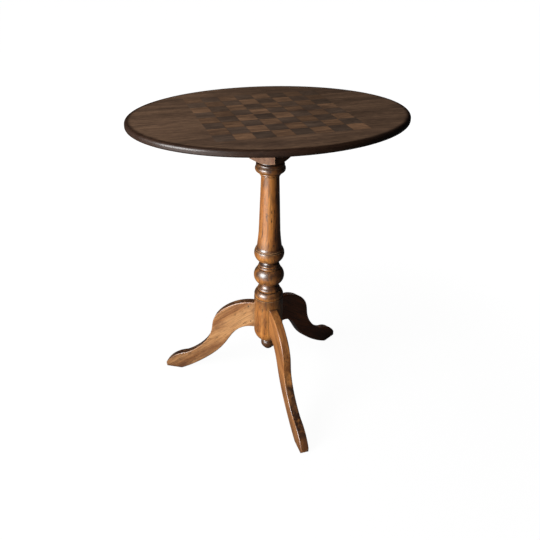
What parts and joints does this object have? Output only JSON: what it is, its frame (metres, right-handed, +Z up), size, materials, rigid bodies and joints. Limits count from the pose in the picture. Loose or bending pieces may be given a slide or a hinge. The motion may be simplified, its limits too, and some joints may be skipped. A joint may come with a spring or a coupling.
{
  "type": "tilt-top chess table",
  "caption": "Oval tilt-top table with an inlaid chessboard, on a turned wooden pillar with curved legs; the top tips upright on pivot pins and a brass slide bolt locks it flat.",
  "frame": {"origin": "middle of the table's footprint on the floor; the pillar's axis stands 23.5 mm behind it, at +Y", "axes": "+Z up, +X along the long axis of the top and the rows of the board, +Y towards the back; the front leg points to -Y"},
  "size_m": [0.62, 0.529, 0.725],
  "materials": {
    "top_wood": "dark waxed hardwood, worn",
    "light_inlay": "warm brown inlay, waxed",
    "dark_inlay": "grey-brown inlay, waxed",
    "pillar_wood": "honey-brown polished hardwood",
    "underside_wood": "plain unpolished hardwood",
    "brass": "aged brass",
    "iron": "dark iron"
  },
  "bodies": {
    "base": {"pillar": "pillar_wood", "pillar_head": "pillar_wood", "pendant": "pillar_wood", "leg_front": "pillar_wood", "leg_right": "pillar_wood", "leg_left": "pillar_wood", "leg_nails": "iron", "tenon_wedge": "underside_wood", "tilt_block": "underside_wood", "pivot_pins": "iron", "strike_plate": "brass", "strike_screws": "brass"},
    "top": {"top_plank_front": "top_wood", "top_plank_middle": "top_wood", "top_plank_back": "top_wood", "light_squares": "light_inlay", "dark_squares": "dark_inlay", "bearer_right": "underside_wood", "bearer_left": "underside_wood", "bearer_screws": "iron", "bolt_plate": "brass", "bolt_plate_screws": "brass"},
    "bolt": {"slide_bolt": "brass", "bolt_knob": "brass"}
  },
  "joints": [
    {"name": "top_tilt", "type": "hinge", "parent": "base", "child": "top", "pos_m": [0, 0.0848, 0.6965], "axis": [-1, 0, 0], "range_deg": [0, 90]},
    {"name": "bolt_slide", "type": "slide", "parent": "top", "child": "bolt", "axis": [0, 1, 0], "range_m": [0, 0.01]}
  ]
}
